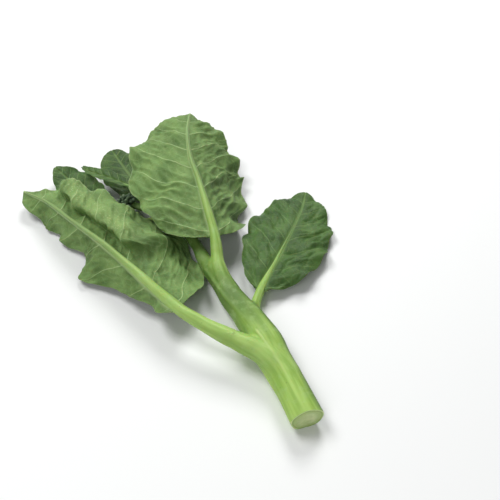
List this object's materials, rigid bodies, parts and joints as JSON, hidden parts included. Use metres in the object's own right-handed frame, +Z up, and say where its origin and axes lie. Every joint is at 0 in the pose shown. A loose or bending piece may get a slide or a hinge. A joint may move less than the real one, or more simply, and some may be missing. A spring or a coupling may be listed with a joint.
{
  "type": "chinese broccoli stalk",
  "caption": "Cut stalk of Chinese broccoli lying on its side: a thick fleshy stem, broad waved leaves on long stalks, young leaves and a head of closed flower buds.",
  "frame": {"origin": "middle of the small flat on the stem's underside, about 37 mm from the cut end", "axes": "+Z up, +Y along the stem from the cut end towards the bud head, +X to the right of that"},
  "size_m": [0.2416, 0.3404, 0.0505],
  "materials": {
    "stem": "satin",
    "leaf_stalk": "satin",
    "leaf_back": "matte",
    "leaf_front": "satin",
    "bud": "matte"
  },
  "bodies": {
    "root": {"stem": "stem", "leaf_left_stalk": "leaf_stalk", "leaf_left_blade": "leaf_back", "leaf_round_stalk": "leaf_stalk", "leaf_round_blade": "leaf_back", "leaf_right_stalk": "leaf_stalk", "leaf_right_blade": "leaf_front", "leaf_upper_stalk": "leaf_stalk", "leaf_upper_blade": "leaf_front", "leaf_far_stalk": "leaf_stalk", "leaf_far_blade": "leaf_front", "leaf_tip_stalk": "leaf_stalk", "leaf_tip_blade": "leaf_front", "bud_head": "bud"}
  },
  "joints": []
}
